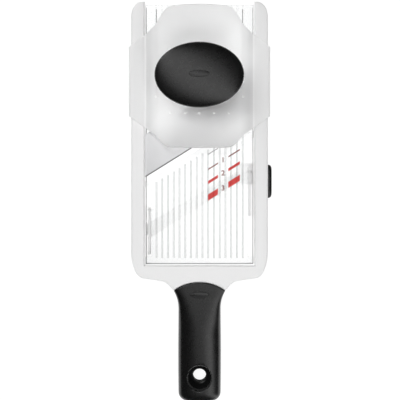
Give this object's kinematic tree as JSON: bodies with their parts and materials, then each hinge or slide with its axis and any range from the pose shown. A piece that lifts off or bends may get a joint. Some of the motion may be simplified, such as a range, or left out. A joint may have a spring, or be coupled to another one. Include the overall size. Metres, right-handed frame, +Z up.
{
  "type": "mandoline slicer",
  "caption": "Handheld mandoline slicer: U-shaped white frame with a soft grip, clear ribbed bed and ramp, slanted steel blade, side thickness slide and a saddle food holder with a palm knob.",
  "frame": {"origin": "centre of the whole slicer's outline at the height of the surface it lies on", "axes": "+Y from the grip towards the open far end of the rails, +X to the side with the thickness knob, +Z up through the food holder"},
  "size_m": [0.1395, 0.39, 0.062],
  "materials": {
    "white_plastic": "satin moulded white plastic",
    "clear_plastic": "polished clear plastic",
    "frosted_plastic": "frosted translucent plastic",
    "soft_black": "matte soft-touch black",
    "hard_black": "fine-textured black plastic",
    "blade_steel": "polished stainless steel",
    "screw_steel": "plated screws"
  },
  "bodies": {
    "body": {"frame": "white_plastic", "base_cover": "white_plastic", "base_screw_left_1": "screw_steel", "base_screw_left_2": "screw_steel", "base_screw_left_3": "screw_steel", "base_screw_right_1": "screw_steel", "base_screw_right_2": "screw_steel", "base_screw_right_3": "screw_steel", "far_foot_left": "soft_black", "far_foot_right": "soft_black", "near_foot_left": "soft_black", "near_foot_right": "soft_black", "grip": "soft_black", "bed": "clear_plastic", "blade": "blade_steel", "blade_clamp_left": "white_plastic", "blade_clamp_right": "white_plastic", "blade_screw_left": "screw_steel", "blade_screw_right": "screw_steel"},
    "ramp": {"ramp": "clear_plastic"},
    "thickness_slider": {"setting_slide": "frosted_plastic", "detent_spring": "blade_steel", "side_knob_core": "hard_black", "side_knob_cap": "soft_black", "side_knob_screw": "screw_steel"},
    "food_holder": {"holder_guard": "frosted_plastic", "palm_knob_stem": "frosted_plastic", "palm_knob_cover": "soft_black", "palm_knob_screw_left": "screw_steel", "palm_knob_screw_right": "screw_steel"}
  },
  "joints": [
    {"name": "thickness_slide", "type": "slide", "parent": "body", "child": "thickness_slider", "axis": [0, 1, 0], "range_m": [0, 0.0407]},
    {"name": "ramp_lift", "type": "slide", "parent": "body", "child": "ramp", "axis": [0, 0, 1], "range_m": [0, 0.00636]},
    {"name": "holder_slide", "type": "slide", "parent": "body", "child": "food_holder", "axis": [0, 1, 0], "range_m": [-0.124, 0.045]}
  ],
  "couplings": [
    {"joint": "ramp_lift", "follows": "thickness_slide", "ratio": 0.156}
  ]
}
